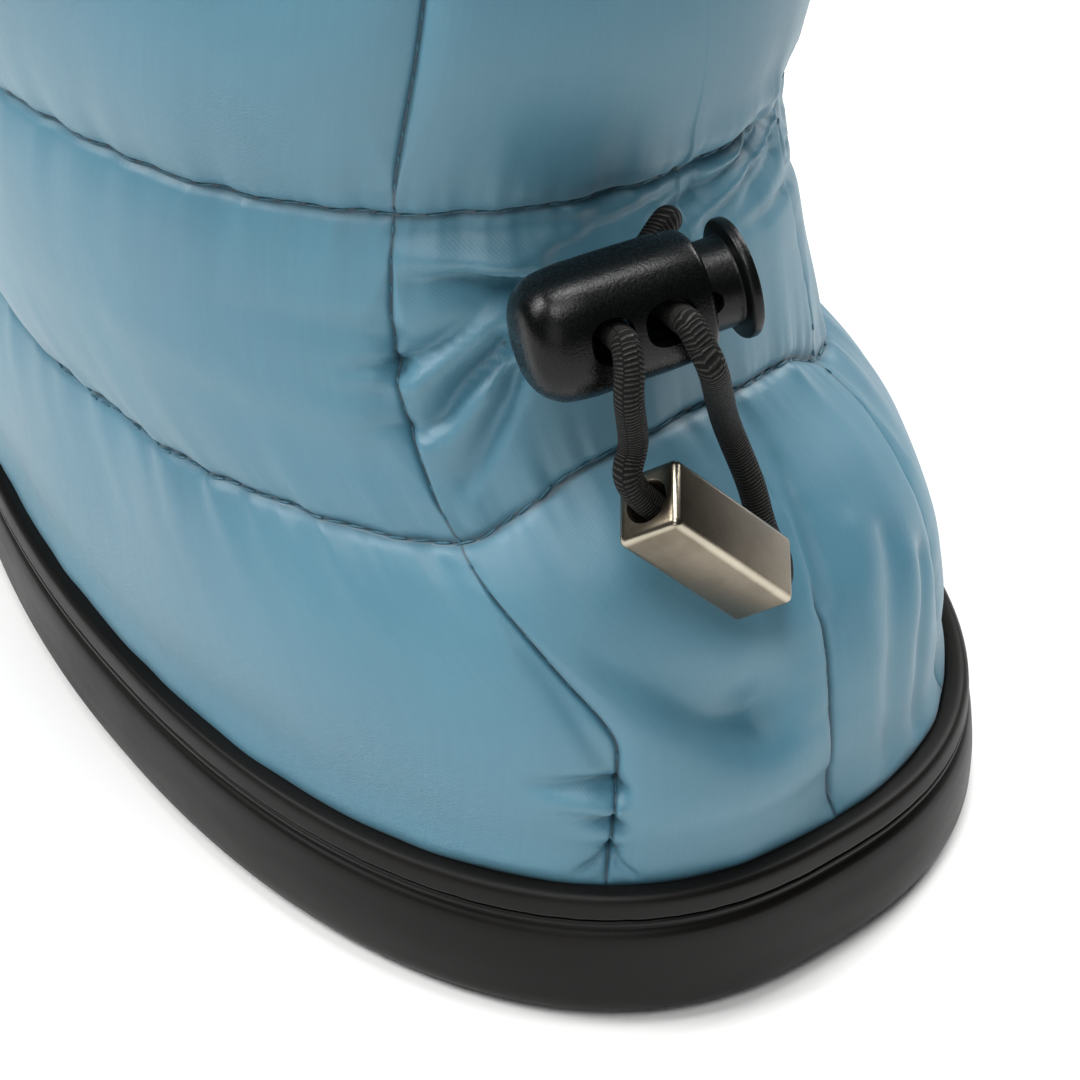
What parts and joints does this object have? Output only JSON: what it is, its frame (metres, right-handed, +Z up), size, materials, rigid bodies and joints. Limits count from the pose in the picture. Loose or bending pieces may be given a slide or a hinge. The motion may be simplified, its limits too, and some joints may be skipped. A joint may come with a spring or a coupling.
{
  "type": "puffer bootie",
  "caption": "Quilted padded ankle bootie for a small child's left foot, with a black rubber cup sole and an elastic drawcord, push-button cord lock and metal bead at the heel.",
  "frame": {"origin": "on the floor under the middle of the bootie's outline", "axes": "+Z up, toe towards -Y, heel towards +Y, wearer's left towards +X"},
  "size_m": [0.0816, 0.1514, 0.118],
  "materials": {
    "outsole_rubber": "satin black rubber",
    "insole_felt": "matte felt",
    "upper_nylon": "soft sheen coated nylon",
    "cord_elastic": "braided, matte",
    "lock_plastic": "finely textured",
    "button_plastic": "finely textured",
    "bead_metal": "antique nickel, worn edges"
  },
  "bodies": {
    "bootie": {"outsole": "outsole_rubber", "insole": "insole_felt", "upper": "upper_nylon", "drawcord": "cord_elastic", "lock_barrel": "lock_plastic", "bead": "bead_metal"},
    "button": {"lock_button": "button_plastic"}
  },
  "joints": [
    {"name": "button_press", "type": "slide", "parent": "bootie", "child": "button", "axis": [0.9504, -0.2866, -0.1207], "range_m": [0, 0.0017], "stiffness_N_per_m": 1500, "springref_m": -0.001}
  ]
}
